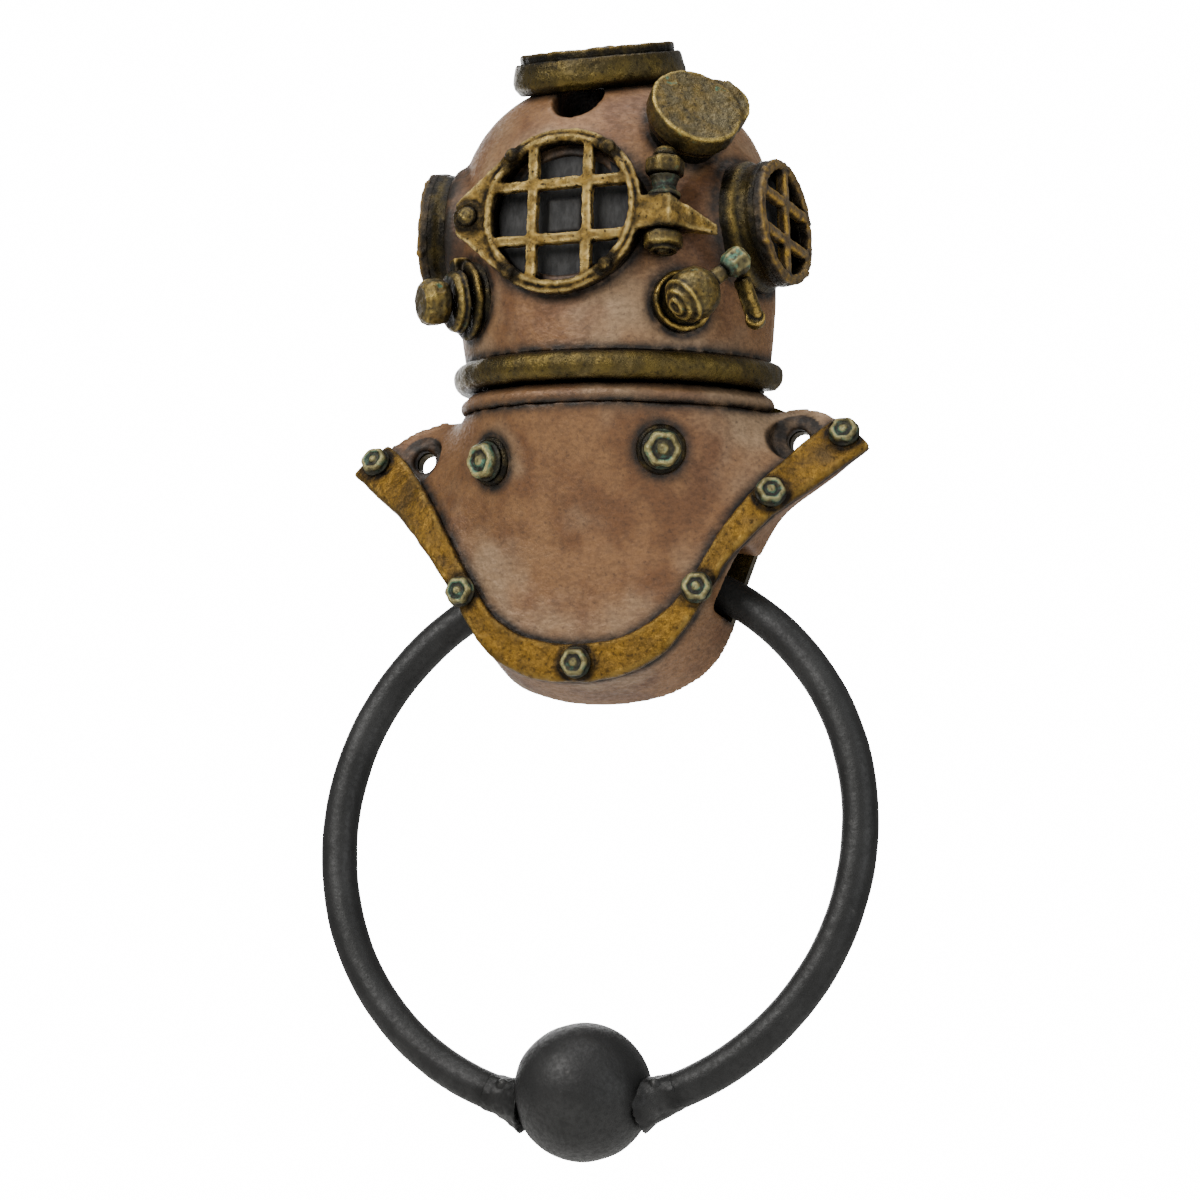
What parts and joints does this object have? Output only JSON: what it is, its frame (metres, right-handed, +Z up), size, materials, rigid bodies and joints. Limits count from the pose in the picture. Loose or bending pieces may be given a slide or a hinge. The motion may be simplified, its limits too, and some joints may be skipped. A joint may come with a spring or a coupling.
{
  "type": "door knocker",
  "caption": "Door knocker cast as a diving helmet and breastplate, with a swinging iron ring and striker ball.",
  "frame": {"origin": "on the flat back face, midway between the two shoulder screw holes", "axes": "+Z up, +Y into the door, so the helmet faces -Y; +X to the right of someone facing it"},
  "size_m": [0.1121, 0.0398, 0.2249],
  "materials": {
    "copper_paint": "matte antiqued copper paint",
    "dark_brass": "antiqued dark brass",
    "gold_brass": "antiqued speckled gold brass",
    "verdigris_bolt": "brass with verdigris",
    "charcoal_pane": "charcoal pane",
    "black_iron": "satin black",
    "zinc_steel": "zinc plated"
  },
  "bodies": {
    "helmet": {"back_plate": "dark_brass", "back_plate_screw_1": "zinc_steel", "back_plate_screw_2": "zinc_steel", "back_plate_screw_3": "zinc_steel", "back_plate_screw_4": "zinc_steel", "bonnet": "copper_paint", "brail_bolt_bottom": "verdigris_bolt", "brail_bolt_left_lower": "verdigris_bolt", "brail_bolt_left_tip": "verdigris_bolt", "brail_bolt_right_lower": "verdigris_bolt", "brail_bolt_right_tip": "verdigris_bolt", "brail_bolt_right_upper": "verdigris_bolt", "brail_strap": "gold_brass", "breastplate": "copper_paint", "chest_stud_left": "verdigris_bolt", "chest_stud_right": "verdigris_bolt", "chest_washer_left": "dark_brass", "chest_washer_right": "dark_brass", "exhaust_body": "dark_brass", "exhaust_flange": "dark_brass", "exhaust_knob": "verdigris_bolt", "front_ear_bolt": "verdigris_bolt", "front_hinge_bolt": "dark_brass", "front_hinge_nut_lower": "dark_brass", "front_hinge_nut_upper": "dark_brass", "front_hinge_spool": "dark_brass", "front_rivet_1": "gold_brass", "front_rivet_2": "gold_brass", "front_rivet_3": "gold_brass", "front_rivet_4": "gold_brass", "front_window_barrel": "dark_brass", "front_window_guard": "gold_brass", "front_window_pane": "charcoal_pane", "left_window_barrel": "dark_brass", "left_window_guard": "dark_brass", "left_window_pane": "charcoal_pane", "neck_bead_ring": "dark_brass", "neck_seat_ring": "copper_paint", "right_window_barrel": "dark_brass", "right_window_guard": "dark_brass", "right_window_pane": "charcoal_pane", "spitcock_ball": "verdigris_bolt", "spitcock_knob": "dark_brass", "spitcock_lever": "dark_brass", "spitcock_seat": "dark_brass", "top_light_barrel": "dark_brass", "top_light_guard": "dark_brass", "top_light_pane": "charcoal_pane", "transceiver_cup": "dark_brass", "transceiver_seat": "dark_brass"},
    "ring": {"knocker_ring": "black_iron", "striker_ball": "black_iron", "weld_bead_left": "black_iron", "weld_bead_right": "black_iron"}
  },
  "joints": [
    {"name": "ring_swing", "type": "hinge", "parent": "helmet", "child": "ring", "pos_m": [0, -0.0066, -0.0244], "axis": [-1, 0, 0], "range_deg": [0, 30]}
  ]
}
